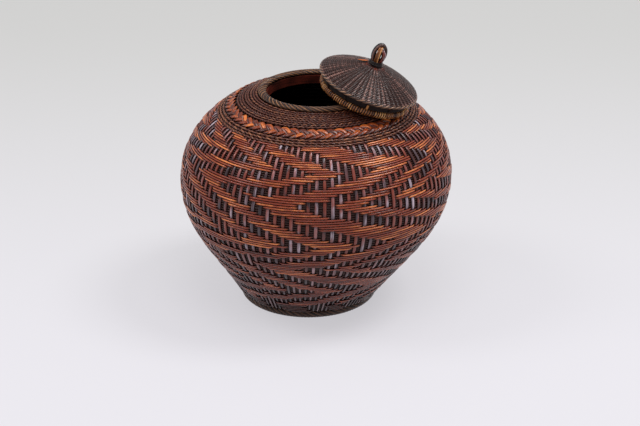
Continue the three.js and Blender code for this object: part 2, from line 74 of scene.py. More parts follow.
def portion(name, description, default):
    """A part of another size, where 1 is all of it."""
    return FloatProperty(
        name=name, description=description, default=default, min=0, soft_max=1, subtype="FACTOR"
    )


def angle(name, description, default):
    """An angle, given in degrees."""
    return FloatProperty(
        name=name, description=description, default=math.radians(default), subtype="ANGLE"
    )


def count(name, description, default):
    """A number of things, at least one."""
    return IntProperty(name=name, description=description, default=default, min=1)


def power(name, default):
    """The power of a lamp, in watts."""
    return FloatProperty(
        name=name, description="Power of this lamp", default=default, min=0, unit="POWER"
    )


def colour(name, description, red, green, blue):
    """A colour, given as the red, green and blue of a picture from 0 to 255."""
    values = [value / 255 for value in (red, green, blue)]
    linear = [v / 12.92 if v <= 0.04045 else ((v + 0.055) / 1.055) ** 2.4 for v in values]
    return FloatVectorProperty(
        name=name, description=description, default=linear, subtype="COLOR", size=3, min=0, max=1
    )


class BasketWallSizes(bpy.types.PropertyGroup):
    """Outline of the wall's outer face, the same as the frame's."""

    belly_radius: length("Belly radius", "Widest ring of the wall", 132)
    belly_height: length("Belly height", "Height of the widest ring", 125.5)
    ease_below: length("Ease below", "How long the wall stays upright under the belly", 45)
    ease_above: length("Ease above", "How long the wall stays upright over the belly", 44)
    foot_radius: length("Foot radius", "Wall's lower end", 70)
    foot_height: length("Foot height", "Height of the wall's lower end", 8.3)
    foot_ease: length("Foot ease", "How long the wall keeps its slope above the foot", 54.7)
    foot_slope: angle("Foot slope", "Rise of the wall at the foot", 57)
    neck_radius: length("Neck radius", "Wall's upper end", 57.6)
    neck_height: length("Neck height", "Height of the wall's upper end", 210.2)
    neck_ease: length("Neck ease", "How long the wall keeps its slope below the neck", 40)
    neck_slope: angle("Neck slope", "Rise of the wall at the neck", 16.5)
    lean: length("Lean", "Sideways lean of the basket over its height", 9.2)
    upper_band: length("Upper twining", "Width of the twined band under the mouth", 22)
    braid_band: length("Braid", "Width of the braided band", 13)
    lower_band: length("Lower twining", "Width of the twined band under the braid", 9)


class BasketWeaveSizes(bpy.types.PropertyGroup):
    """Stakes and weavers of the wall."""

    stakes: count("Stakes", "Upright stakes round the wall", 108)
    row_pitch: length("Row pitch", "Height of one row of the weave, halfway up", 2.45)
    row_taper: portion("Row taper", "How much wider the rows are at the foot, as part of their pitch", 0.15)
    hem: length("Dark hem", "Height of the dark rows above the foot's rope", 11)
    hem_shade: portion("Hem shade", "How light the hem's rows are", 0.35)
    weaver_share: portion("Weaver share", "Part of the row pitch that a weaver fills", 0.84)
    weaver_thickness: length("Weaver thickness", "Thickness of a weaver", 1.1)
    stake_thickness: length("Stake thickness", "Thickness of a stake", 0.9)
    stake_share: portion("Stake share", "Part of the stake pitch that a stake fills", 0.47)
    depth_over: length("Depth over", "Depth of a weaver that lies on top", 0.5)
    depth_under: length("Depth under", "Depth of a weaver that lies underneath", 2.1)
    stake_over: length("Stake over", "Depth of a stake that lies on top", 0.85)
    stake_under: length("Stake under", "Depth of a stake that lies underneath", 1.85)
    lining_width: length("Lining width", "Width of a hoop of the lining", 6.8)
    lining_pitch: length("Lining pitch", "Height from one hoop of the lining to the next", 6)
    lining_depth: length("Lining depth", "Depth of the lining's hoops", 3.1)
    lining_step: length("Lining step", "How much deeper every second hoop lies", 0.2)
    band_half: angle("Band half width", "Half width of a stroke of the zigzag", 8)
    twining_pitch: length("Twining pitch", "Height of one twined row", 2.9)
    plaits: count("Plaits", "Plaits of the braid round the shoulder", 20)
    braid_strand: length("Braid strand", "Width of a strand of the braid", 4)


class BasketLidSizes(bpy.types.PropertyGroup):
    """Dome of the lid, the same as the frame's, and its strands."""

    radius: length("Lid radius", "Outside of the edge rope", 48.9)
    height: length("Lid height", "Top of the dome over the edge rope's lowest line", 22)
    top_slope: angle("Top slope", "Fall of the dome at its centre", 13)
    top_ease: length("Top ease", "How long the dome keeps its slope at the centre", 20.3)
    edge_slope: angle("Edge slope", "Fall of the dome at its edge", 41)
    edge_ease: length("Edge ease", "How long the dome keeps its slope at the edge", 6.7)
    rope: length("Edge rope", "Thickness of the edge rope", 3.6)
    rope_drop: length("Rope drop", "How far the rope hangs below the lid's origin", 0.6)
    ribs: count("Ribs", "Radial ribs of the lid", 56)
    ridge: length("Ridge", "Height of the dome's ridges over its valleys", 0.7)
    row_pitch: length("Row pitch", "Width of one twined row", 1.9)
    centre_radius: length("Centre", "Radius of the reddish centre", 11.5)
    whipping_turns: count("Whipping turns", "Turns of the strip round the collar", 116)
    knob_width: length("Knob width", "Width of the knob over its widest loop", 14.6)
    knob_height: length("Knob height", "Height of the knob over the dome", 20.4)
    knob_strand: length("Knob strand", "Thickness of a loop", 2.3)
    knob_step: length("Knob step", "How much lower each loop crosses than the one before", 2.6)
    knob_foot: length("Knob foot", "Distance of a loop's feet from the lid's axis", 2.7)
    knob_waist: portion("Knob waist", "Height of the loops' widest place, in knob heights", 0.46)


class BasketColours(bpy.types.PropertyGroup):
    """Colours of the cane."""

    weaver_dark: colour("Weaver, dark", "Darkest weavers", 54, 19, 11)
    weaver: colour("Weaver", "Rust-red weavers", 132, 50, 26)
    weaver_light: colour("Weaver, light", "Palest weavers", 230, 134, 74)
    # Near the foot the weavers take darker colours than above: painted shade on the lower wall, where less
    # light falls. The low weaver colour also serves the knob's inner loop and the neck hoop
    low_weaver: colour("Low weaver", "Weavers near the foot", 112, 44, 32)
    low_light: colour("Low weaver, light", "Palest weavers near the foot", 188, 100, 68)
    stake_dark: colour("Stake, dark", "Darkest stakes", 44, 28, 32)
    stake: colour("Stake", "Upright stakes", 80, 62, 68)
    stake_light: colour("Stake, light", "Palest stakes", 190, 170, 182)
    stake_rust: colour("Stake, rust", "Reddest stakes", 138, 58, 38)
    # Near the foot the palest stakes are darker than above: painted shade on the lower wall
    low_stake: colour("Low stake, light", "Palest stakes near the foot", 146, 114, 118)
    twining_dark: colour("Twining, dark", "Darkest twined strands", 40, 18, 12)
    twining: colour("Twining", "Twined rows", 78, 34, 22)
    twining_light: colour("Twining, light", "Palest twined strands", 144, 90, 62)
    braid_dark: colour("Braid, dark", "Darkest strands of the braid", 70, 26, 14)
    braid: colour("Braid", "Orange strands of the braid", 134, 56, 24)
    braid_light: colour("Braid, light", "Palest strands of the braid", 216, 118, 50)
    mauve: colour("Mauve", "Grey-mauve strands", 82, 42, 38)
    rope_dark: colour("Rope, dark", "Darkest strands of the ropes", 22, 14, 12)
    rope: colour("Rope", "Dark ropes", 56, 34, 27)
    rope_light: colour("Rope, light", "Palest strands of the lid's rope", 150, 110, 84)
    foot_light: colour("Foot rope, light", "Palest strands of the foot's rope", 102, 72, 56)
    rim_light: colour("Rim rope, light", "Palest strands of the mouth's rope", 132, 92, 62)
    hoop: colour("Hoop", "Reddish strips of the floor, the lid's centre and the binding", 64, 30, 22)
    lid_dark: colour("Lid, dark", "Darkest twining of the lid", 34, 18, 14)
    lid: colour("Lid", "Twining of the lid", 52, 28, 21)
    lid_light: colour("Lid, light", "Palest strands of the lid", 140, 100, 90)
    honey_dark: colour("Honey, dark", "Darkest honey-coloured strips", 66, 32, 18)
    honey: colour("Honey", "Honey-coloured strips", 150, 92, 50)
    honey_light: colour("Honey, light", "Palest strips", 226, 168, 106)
    # Painted shade: the colour that gaps, and strands hidden under others, are painted in; the floor's
    # strands and disc also use it as their darkest colour
    dark: colour("Dark", "Cane in the gaps", 46, 18, 12)


class BasketStageSizes(bpy.types.PropertyGroup):
    """Camera, lamps and background."""

    lens: FloatProperty(
        name="Lens", description="Focal length of the camera", default=103.33, unit="CAMERA"
    )
    camera_x: coordinate("Camera X", "How far right of the basket the camera stands", 0.0038)
    camera_y: coordinate("Camera Y", "How far behind the basket the camera stands", -1.6536)
    camera_z: coordinate("Camera Z", "Height of the camera", 0.8125)
    camera_pitch: angle("Camera pitch", "How far the camera looks down", 23.8166)
    overhead_power: power("Overhead lamp", 15)
    right_power: power("Right lamp", 28)
    left_power: power("Left lamp", 16)
    surround: portion("Surround", "Strength of the light from all round", 0.5)
    floor: colour("Floor", "Colour of the floor in the light that it throws back", 208, 208, 210)
    floor_seen: colour("Floor seen", "Colour of the floor that shows the shadow", 128, 127, 130)
    glow_near: colour("Glow, near", "Light of the backdrop in front", 194, 192, 197)
    glow_far: colour("Glow, far", "Light of the backdrop behind", 168, 168, 164)


def even_turn(steps):
    """Angles of evenly spaced places round one turn."""
    return TURN * np.arange(steps) / steps


def level(around):
    """Level directions at angles."""
    return np.stack([np.cos(around), np.sin(around), 0 * around], -1)


def slope(value):
    """Direction that rises at an angle, as (outward, up)."""
    return np.array([math.cos(value), math.sin(value)])


def as_they_are(values):
    """Points or directions that need no turning."""
    return values


# Surfaces


class Outline:
    """A line of (radius, height) points, with its outer side on its right, read by the distance along it."""

    def __init__(self, points):
        self.points = np.array([(p[0], p[1]) for p in points])
        steps = np.linalg.norm(np.diff(self.points, axis=0), axis=1)
        self.along = np.concatenate([[0], np.cumsum(steps)])
        self.length = float(self.along[-1])
        tangent = np.gradient(self.points, self.along, axis=0)
        self.tangent = tangent / np.linalg.norm(tangent, axis=1)[:, None]

    def read(self, station, values):
        """Pairs of values at each station."""
        return np.stack([np.interp(station, self.along, values[:, k]) for k in (0, 1)], -1)

    def at(self, station):
        """Point and outward direction at each station, as (radius, height) pairs."""
        tangent = self.read(station, self.tangent)
        tangent /= np.linalg.norm(tangent, axis=-1, keepdims=True)
        return self.read(station, self.points), np.stack([tangent[..., 1], -tangent[..., 0]], -1)


class Round:
    """A surface of revolution in its own frame, which put() and turn() set in the row frame."""

    def __init__(self, outline, put, turn):
        self.outline = outline
        self.put = put
        self.turn = turn

    def spot(self, around, station, depth):
        """Points and outward directions at angles, stations and depths."""
        around, station, depth = np.broadcast_arrays(around, station, depth)
        point, out = self.outline.at(station)
        point = point - depth[..., None] * out
        spin = np.stack([np.cos(around), np.sin(around)], -1)
        points = np.concatenate([point[..., :1] * spin, point[..., 1:]], -1)
        outward = np.concatenate([out[..., :1] * spin, out[..., 1:]], -1)
        return self.put(points), self.turn(outward)


def bezier(start, handle_start, handle_end, end, steps=60):
    """Points on a curve from start to end, in a plane."""
    flat = [Vector((p[0], p[1], 0)) for p in (start, handle_start, handle_end, end)]
    return interpolate_bezier(*flat, steps)


def wall_surface():
    """The wall's outer face, from the foot over the belly to the neck."""
    wall = bpy.context.scene.basket_wall
    foot = np.array([wall.foot_radius, wall.foot_height])
    belly = np.array([wall.belly_radius, wall.belly_height])
    neck = np.array([wall.neck_radius, wall.neck_height])
    from_foot = foot + wall.foot_ease * slope(wall.foot_slope)
    to_neck = neck + wall.neck_ease * slope(-wall.neck_slope)
    below = bezier(foot, from_foot, belly - (0, wall.ease_below), belly)
    above = bezier(belly, belly + (0, wall.ease_above), to_neck, neck)
    return Round(Outline(below[:-1] + above), leaning, as_they_are)


def leaning(points):
    """Sets points of the upright basket into the one that leans."""
    wall = bpy.context.scene.basket_wall
    share = lambda z: (1 - z / wall.neck_height) ** 2
    points = points.copy()
    points[..., 0] += wall.lean * (share(wall.belly_height) - share(points[..., 2]))
    return points


def vertices(node):
    """A CAD node's vertices in the row frame."""
    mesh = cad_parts[node].data
    flat = np.empty(len(mesh.vertices) * 3)
    mesh.vertices.foreach_get("co", flat)
    return np.unique(flat.reshape(-1, 3).round(6), axis=0)


def middle_of(points):
    """Middle of the box round some points."""
    return (points.min(axis=0) + points.max(axis=0)) / 2


def lid_axes():
    """Origin and axes of the lid, read from its edge rope: +Z is the lid's axis, +X runs downhill."""
    lid = bpy.context.scene.basket_lid
    rope = vertices("lid_edge_rope")
    middle = rope.mean(axis=0)
    up = np.linalg.svd(rope - middle)[2][2]
    up *= np.sign(up[2])
    downhill = up * (1, 1, 0)
    downhill -= up * downhill.dot(up)
    downhill /= np.linalg.norm(downhill)
    return middle - up * (lid.rope / 2 - lid.rope_drop), np.stack([downhill, np.cross(up, downhill), up])


def in_lid():
    """Ways to set points and directions from the lid's own axes into the row frame."""
    origin, axes = lid_axes()
    return lambda p: p @ axes + origin, lambda d: d @ axes


def lid_ring(node):
    """The ring of a node round the lid's axis."""
    origin, axes = lid_axes()
    return ring_of((vertices(node) - origin) @ axes.T)


def lid_surface():
    """The dome's outer face, from its edge to its centre."""
    lid = bpy.context.scene.basket_lid
    seam = 0.3 * MM
    edge = np.array([lid.radius - lid.rope_drop, lid.rope - lid.rope_drop + seam])
    top = np.array([0, lid.height])
    from_edge = edge + lid.edge_ease * (slope(lid.edge_slope) * (-1, 1))
    to_top = top + lid.top_ease * slope(-lid.top_slope)
    return Round(Outline(bezier(edge, from_edge, to_top, top)), *in_lid())


# Strands


def crowned(width, thickness):
    """Section of a split strip: a flat back and a crowned face."""
    w, t = width / 2, thickness / 2
    back = [(-0.8 * w, -t), (0.8 * w, -t)]
    return np.array([*back, (w, 0), (0.5 * w, 0.8 * t), (-0.5 * w, 0.8 * t), (-w, 0)])


def plain(width, thickness):
    """Section with a few faces, for strands that repeat hundreds of times."""
    w, t = width / 2, thickness / 2
    return np.array([(-w, -t), (w, -t), (0.75 * w, 0.6 * t), (0, t), (-0.75 * w, 0.6 * t)])


def rounded(width, thickness, sides=8):
    """Section of a round or flattened strand."""
    turn = even_turn(sides)
    return np.stack([width / 2 * np.cos(turn), thickness / 2 * np.sin(turn)], -1)


def widening(section, widths, thicknesses):
    """A section for each place of a strand: the same one, times a width and a thickness."""
    return section[None] * np.stack(np.broadcast_arrays(widths, thicknesses), -1)[:, None]


class Strands:
    """Gathers swept strands, then makes one mesh of them."""

    # Size of the pattern, in UV per metre, and how far each strand's lies from the one before
    UV_SCALE = 100
    UV_SHIFT = 0.371

    def __init__(self):
        self.points, self.quads, self.caps, self.uvs, self.tones, self.unshaded_values = [], [], [], [], [], []
        self.count = 0
        self.number = 0

    def add(self, path, outward, section, closed=False, tone=0.5, cover=1.0, fade=0.6):
        """Sweeps a section along a path.

        The colour reads tone, from dark to light, and painted shade: full in the gaps, none on the face, and
        up to a set share more towards the strand's edges.
        """
        ahead = np.roll(path, -1, axis=0)
        behind = np.roll(path, 1, axis=0)
        if not closed:
            ahead[-1] = 2 * path[-1] - path[-2]
            behind[0] = 2 * path[0] - path[1]
        tangent = ahead - behind
        tangent /= np.linalg.norm(tangent, axis=1)[:, None]
        across = np.cross(outward, tangent)
        across /= np.linalg.norm(across, axis=1)[:, None]
        up = np.cross(tangent, across)
        steps, sides = len(path), section.shape[-2]
        section = np.broadcast_to(section, (steps, sides, 2))
        points = path[:, None] + section[..., :1] * across[:, None] + section[..., 1:] * up[:, None]

        spans = steps if closed else steps - 1
        i, k = np.meshgrid(np.arange(spans), np.arange(sides), indexing="ij")
        j, n = (i + 1) % steps, (k + 1) % sides
        corners = [a * sides + b + self.count for a, b in ((i, k), (i, n), (j, n), (j, k))]
        self.quads.append(np.stack(corners, -1).reshape(-1, 4))
        travel = np.concatenate([[0], np.cumsum(np.linalg.norm(ahead - path, axis=1))])
        width = np.abs(section[..., 0]).max()
        edge = np.linspace(-width, width, sides + 1)
        shift = self.number * self.UV_SHIFT
        ends = ((i, k), (i, k + 1), (i + 1, k + 1), (i + 1, k))
        uvs = [np.stack([travel[a] * self.UV_SCALE, edge[b] * self.UV_SCALE + shift], -1) for a, b in ends]
        self.uvs.append(np.stack(uvs, -2).reshape(-1, 4, 2))
        if not closed:
            first = self.count + np.arange(sides)
            last = first + (steps - 1) * sides
            self.caps += [first[::-1], last]
        self.points.append(points.reshape(-1, 3))
        # Painted shade on the strand's sides: its colour darkens from the crown of its section towards its
        # edges
        lift = section[..., 1] / section[..., 1].max()
        face = np.clip(1 - fade * (1 - lift), 0, 1)
        self.tones.append(np.repeat(np.broadcast_to(tone, steps), sides))
        self.unshaded_values.append((np.broadcast_to(cover, steps)[:, None] * face).ravel())
        self.count += steps * sides
        self.number += 1

    def piece(self, name, material, body, slot, *nodes):
        """Makes the piece, lets it ride on a body and hides the nodes that it stands for."""
        quads = np.concatenate(self.quads)
        loops = np.concatenate([quads.ravel(), *self.caps]) if self.caps else quads.ravel()
        sizes = np.concatenate([np.full(len(quads), 4), [len(cap) for cap in self.caps]]).astype(int)
        smooth = np.arange(len(sizes)) < len(quads)
        mesh = bpy.data.meshes.new(name)
        mesh.vertices.add(self.count)
        mesh.vertices.foreach_set("co", np.concatenate(self.points).ravel())
        mesh.loops.add(len(loops))
        mesh.loops.foreach_set("vertex_index", loops)
        mesh.polygons.add(len(sizes))
        mesh.polygons.foreach_set("loop_start", np.concatenate([[0], np.cumsum(sizes)[:-1]]))
        mesh.polygons.foreach_set("use_smooth", smooth)
        uv = np.zeros((len(loops), 2))
        uv[: quads.size] = np.concatenate(self.uvs).reshape(-1, 2)
        mesh.uv_layers.new(name="UVMap").data.foreach_set("uv", uv.ravel())
        for label, values in (("tone", self.tones), ("cover", self.unshaded_values)):
            layer = mesh.attributes.new(label, "FLOAT", "POINT")
            layer.data.foreach_set("value", np.concatenate(values))
        mesh.update(calc_edges=True)
        mesh.validate()
        thing = bpy.data.objects.new(name, mesh)
        bpy.context.scene.collection.objects.link(thing)
        finish(thing, material, body, slot, *nodes)


def paint(thing, material):
    """Gives an object one material."""
    thing.data.materials.clear()
    thing.data.materials.append(material)


def finish(thing, material, body, slot, *nodes):
    """Paints a piece, lets it ride on a body and hides the nodes that it stands for."""
    paint(thing, material)
    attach(thing, body)
    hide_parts(*nodes)


def deselect():
    """Leaves nothing selected, so that an operator acts on its own shape alone."""
    for thing in bpy.context.selected_objects:
        thing.select_set(False)


def ring_of(points):
    """Radius, height, half width and half height of a ring of points round the Z axis."""
    radius = np.hypot(points[:, 0], points[:, 1])
    low, high = radius.min(), radius.max()
    bottom, top = points[:, 2].min(), points[:, 2].max()
    return (low + high) / 2, (bottom + top) / 2, (high - low) / 2, (top - bottom) / 2


def wound(radius, height, a, b, around, phase):
    """Path and outward directions of a strand that winds round a ring's oval section, a wide and b high."""
    r = radius + a * np.cos(phase)
    path = np.stack([r * np.cos(around), r * np.sin(around), height + b * np.sin(phase)], -1)
    out = np.stack([np.cos(phase) / a, np.sin(phase) / b], -1)
    out /= np.linalg.norm(out, axis=1)[:, None]
    outward = np.stack([out[:, 0] * np.cos(around), out[:, 0] * np.sin(around), out[:, 1]], -1)
    return path, outward


# Steps of a rope's strand for each of its turns
ROPE_STEPS = 14
# Tone of a dark strand, how much paler every second one is, and what chance adds to each
DARK_PLY = 0.1
PALER_PLY = 0.8
PLY_CHANCE = 0.3
# Steps and sides of the ring inside a rope
CORE_STEPS = 120
CORE_SIDES = 10


def lay_rope(strands, put, turn, ring, strand, plies, turns, random):
    """Lays strands round a ring's section: ring is (radius, height, half width, half height).

    Strand is (width, thickness) of one of them. Seen from outside, it falls to the right where
    turns is below zero.
    """
    radius, height, half_width, half_height = ring
    a, b = half_width - strand[1] / 2, half_height - strand[1] / 2
    around = even_turn(abs(turns) * ROPE_STEPS)
    for ply in range(plies):
        phase = turns * around + TURN * ply / plies
        path, out = wound(radius, height, a, b, around, phase)
        tone = DARK_PLY + PALER_PLY * (ply % 2) + PLY_CHANCE * random.random()
        strands.add(put(path), turn(out), rounded(*strand), True, tone, fade=0.95)


def core_ring(strands, put, turn, ring, inset):
    """A plain ring inside a rope, so that nothing shows through between its strands; it is painted all in
    the gaps' shade colour, as painted shade.
    """
    radius, height, half_width, half_height = ring
    out = level(even_turn(CORE_STEPS))
    section = rounded(2 * (half_height - inset), 2 * (half_width - inset), CORE_SIDES)
    strands.add(put(radius * out + (0, 0, height)), turn(out), section, True, 0.0, 0.0)


# Materials


class Socket:
    """A shader value that Python's own operators can work on."""

    def __init__(self, cane, link):
        self.cane, self.link = cane, link

    def maths(self, operation, first, second):
        return self.cane.node("ShaderNodeMath", {"operation": operation}, first, second)

    def __add__(self, other):
        return self.maths("ADD", self, other)

    def __sub__(self, other):
        return self.maths("SUBTRACT", self, other)

    def __mul__(self, other):
        return self.maths("MULTIPLY", self, other)

    def __rsub__(self, other):
        return self.maths("SUBTRACT", other, self)

    __radd__ = __add__
    __rmul__ = __mul__

    def between(self, low, high):
        """0 at low, 1 at high, smooth in between."""
        settings = {"interpolation_type": "SMOOTHSTEP"}
        return self.cane.node("ShaderNodeMapRange", settings, self, low, high, 0.0, 1.0)


class Cane:
    """Node material of split cane."""

    def __init__(self, name):
        self.material = bpy.data.materials.new(name)
        self.material.use_nodes = True
        self.tree = self.material.node_tree
        self.shader = self.tree.nodes["Principled BSDF"]

    def node(self, kind, settings, *values, output=0, **named):
        """Adds a node, makes its settings, fills its sockets by order or name, and gives an output."""
        made = self.tree.nodes.new(kind)
        for key, value in settings.items():
            setattr(made, key, value)
        for key, value in [*enumerate(values), *named.items()]:
            self.fill(made.inputs[key], value)
        return Socket(self, made.outputs[output])

    def fill(self, socket, value):
        """Links a socket, or sets its value where the value is no socket itself."""
        if isinstance(value, Socket):
            self.tree.links.new(value.link, socket)
        elif value is not None:
            socket.default_value = value

    def blend(self, share, low, high):
        """Mixes two colours."""
        # The node's sockets for other kinds of value stand between the share and the colours
        others = [None] * 5
        return self.node("ShaderNodeMix", {"data_type": "RGBA"}, share, *others, low, high, output=2)

    def attribute(self, name):
        """A value that the strands carry."""
        return self.node("ShaderNodeAttribute", {"attribute_name": name}, output="Fac")

    def place(self):
        """A point of the piece in the row frame."""
        return self.node("ShaderNodeTexCoord", {}, output="Object")

    def part(self, point, axis):
        """One coordinate of a point."""
        return self.node("ShaderNodeSeparateXYZ", {}, point, output=axis)

    def noise(self, vector, scale, detail):
        """Soft noise."""
        return self.node("ShaderNodeTexNoise", {}, Vector=vector, Scale=scale, Detail=detail)

    def drawn(self, point, factors):
        """Noise drawn out along some axes, where a small factor draws it far."""
        stretched = self.node("ShaderNodeVectorMath", {"operation": "MULTIPLY"}, point, factors)
        return self.noise(stretched, 1.0, 3.0)

    def streaks(self, along, across):
        """Noise drawn out along the strand, in changes per centimetre."""
        return self.drawn(self.node("ShaderNodeUVMap", {}), (along, across, 1.0))

    def grain(self, strength, height):
        """Fine relief, up to 0.2 mm."""
        return self.node("ShaderNodeBump", {}, Strength=strength, Distance=0.2 * MM, Height=height)

    def set(self, **sockets):
        """Fills sockets of the shader."""
        for key, value in sockets.items():
            self.fill(self.shader.inputs[key.replace("_", " ")], value)


# How often a pattern changes along and across a strand, in each centimetre
STREAKS = (1.2, 26.0)
PATCHES = (0.3, 5.0)
BLUSHES = (0.3, 0.9)
# What a strand's own tone, its patches and its streaks add to how pale it is
TONE_SHARE = 0.55
PATCH_SHARE = 0.3
STREAK_SHARE = 0.15
# Heights between which the colours near the foot give way to those above; the darker colours near the foot
# are painted shade on the lower wall
LOW_COLOURS = (0.04, 0.12)
# Gloss of the cane and of its coat, and how much its roughness varies
GLOSS = 0.25
COAT_ROUGHNESS = 0.22
ROUGH_SPREAD = 0.2
# Patterns of the bent hoops: changes in each metre along the three axes, and of their blotches
HOOP_STREAKS = (60.0, 60.0, 1600.0)
HOOP_BLOTCHES = 45.0


def opaque(shade):
    """A colour with its alpha."""
    return (*shade, 1.0)


def tint(name):
    """One of the basket's colours, by its name."""
    return opaque(getattr(bpy.context.scene.basket_colours, name))


def cane_material(name, dark, base, light, accent=None, low=(), roughness=0.3, coat=0.45):
    """Glossy split cane: streaked along the strand, varied from strand to strand, with painted shade in the
    gaps.

    The accent blushes in patches above the foot. Near the foot, low takes the place of base and light, with
    darker colours as painted shade on the lower wall.
    """
    cane = Cane(name)
    tone = cane.attribute("tone")
    cover = cane.attribute("cover")
    streak = cane.streaks(*STREAKS).between(0.3, 0.7)
    patch = cane.streaks(*PATCHES).between(0.32, 0.68)
    share = tone * TONE_SHARE + patch * PATCH_SHARE + streak * STREAK_SHARE
    middle, pale = tint(base), tint(light)
    if low or accent:
        rise = cane.part(cane.place(), "Z").between(*LOW_COLOURS)
    if low:
        middle, pale = (cane.blend(rise, tint(foot), above) for foot, above in zip(low, (middle, pale)))
    shade = cane.blend(share.between(0.1, 0.5), tint(dark), middle)
    shade = cane.blend(share.between(0.5, 0.9), shade, pale)
    if accent:
        blush = cane.streaks(*BLUSHES).between(0.42, 0.54) * rise
        shade = cane.blend(blush * (streak * 0.3 + 0.6), shade, tint(accent))
    # Painted shade: in the gaps, under other strands and towards a strand's edges, the colour turns to the
    # dark gap colour
    shade = cane.blend(cover.between(0.0, 0.9), tint("dark"), shade)
    rough = streak * ROUGH_SPREAD + (roughness - ROUGH_SPREAD / 2)
    cane.set(Base_Color=shade, Roughness=rough, Normal=cane.grain(0.35, streak), Specular_IOR_Level=GLOSS)
    cane.set(Coat_Weight=cover * coat, Coat_Roughness=COAT_ROUGHNESS)
    return cane.material


def hoop_material(name, base, light, roughness):
    """Cane that is bent round the basket's axis: streaks at one height, blotches along it."""
    cane = Cane(name)
    place = cane.place()
    streak = cane.drawn(place, HOOP_STREAKS)
    blotch = cane.noise(place, HOOP_BLOTCHES, 2.0)
    share = (streak * 0.6 + blotch * 0.5 - 0.1).between(0.2, 0.8)
    rough = streak * ROUGH_SPREAD + (roughness - ROUGH_SPREAD / 2)
    cane.set(Base_Color=cane.blend(share, tint(base), tint(light)), Roughness=rough)
    cane.set(Normal=cane.grain(0.2, streak), Coat_Weight=0.1, Specular_IOR_Level=GLOSS)
    return cane.material


# Operators


